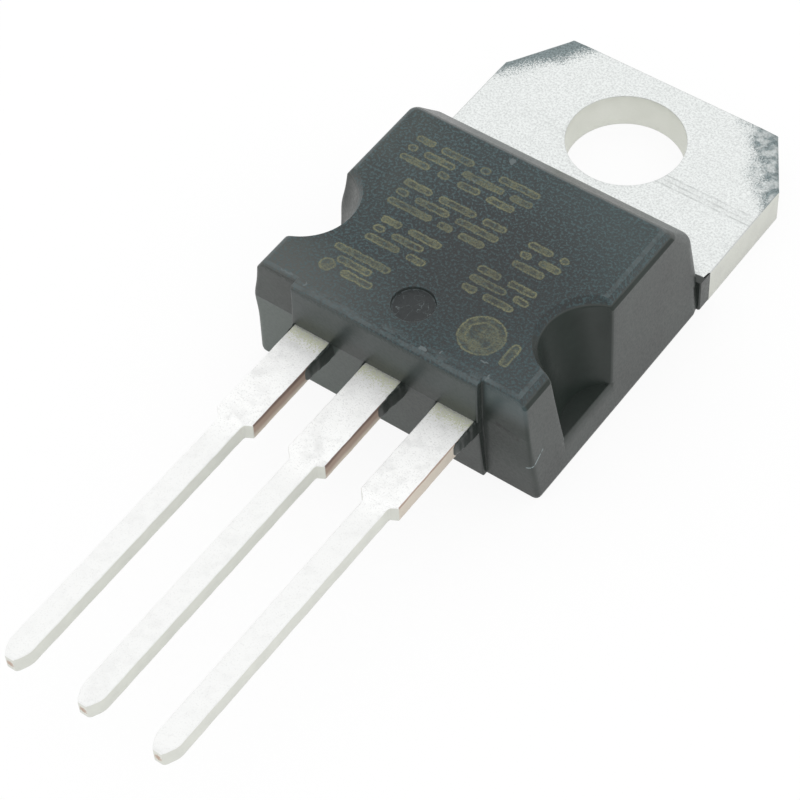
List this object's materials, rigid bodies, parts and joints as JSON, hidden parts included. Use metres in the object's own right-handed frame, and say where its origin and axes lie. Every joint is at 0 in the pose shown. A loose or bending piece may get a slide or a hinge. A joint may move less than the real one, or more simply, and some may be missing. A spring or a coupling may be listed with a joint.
{
  "type": "power mosfet",
  "caption": "Power transistor in a moulded through-hole package with a flat metal mounting tab, a screw hole, side notches and straight tinned leads.",
  "frame": {"origin": "centre of the mounting hole on the rear face of the tab", "axes": "+X to the right across the leads seen from the front, +Y to the free end of the tab, +Z out of the front face; the leads point to -Y"},
  "size_m": [0.0102, 0.0289, 0.0045],
  "materials": {
    "tinned_copper": "satin tin plating",
    "mould_epoxy": "fine matt moulding",
    "silicon": "smooth",
    "solder": "dull",
    "wire_aluminium": "smooth"
  },
  "bodies": {
    "root": {"drain_header": "tinned_copper", "mould_body": "mould_epoxy", "gate_lead": "tinned_copper", "source_lead": "tinned_copper", "silicon_die": "silicon", "die_solder": "solder", "gate_wire": "wire_aluminium", "source_wire_inner": "wire_aluminium", "source_wire_outer": "wire_aluminium"}
  },
  "joints": []
}
